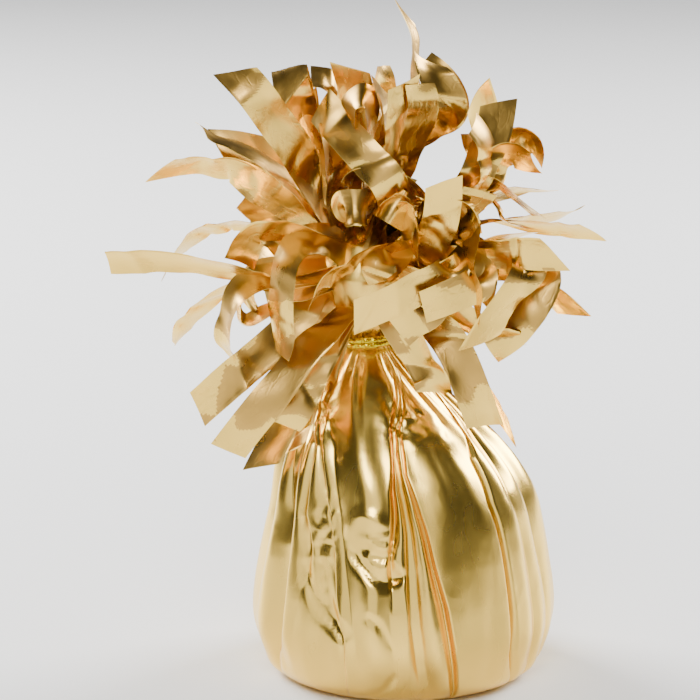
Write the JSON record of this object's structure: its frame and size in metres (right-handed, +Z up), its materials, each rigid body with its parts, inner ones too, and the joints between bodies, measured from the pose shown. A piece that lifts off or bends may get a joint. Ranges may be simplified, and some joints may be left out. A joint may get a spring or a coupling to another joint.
{
  "type": "foil balloon weight",
  "caption": "Gold foil balloon weight: a pleated foil wrap round a hidden load, tied at the neck under a burst of foil strips, to hold balloon ribbons down.",
  "frame": {"origin": "middle of the flat underside, on the surface that the weight stands on", "axes": "+Z up through the neck, +X to the right and -Y towards the front, the side that the picture shows"},
  "size_m": [0.0987, 0.0795, 0.1366],
  "materials": {
    "gold_foil": "satin gold metallised film, pleated and creased",
    "tie_foil": "bright yellow-gold metallic wrapping, twisted"
  },
  "bodies": {
    "root": {"foil_wrap": "gold_foil", "neck_tie": "tie_foil"}
  },
  "joints": []
}
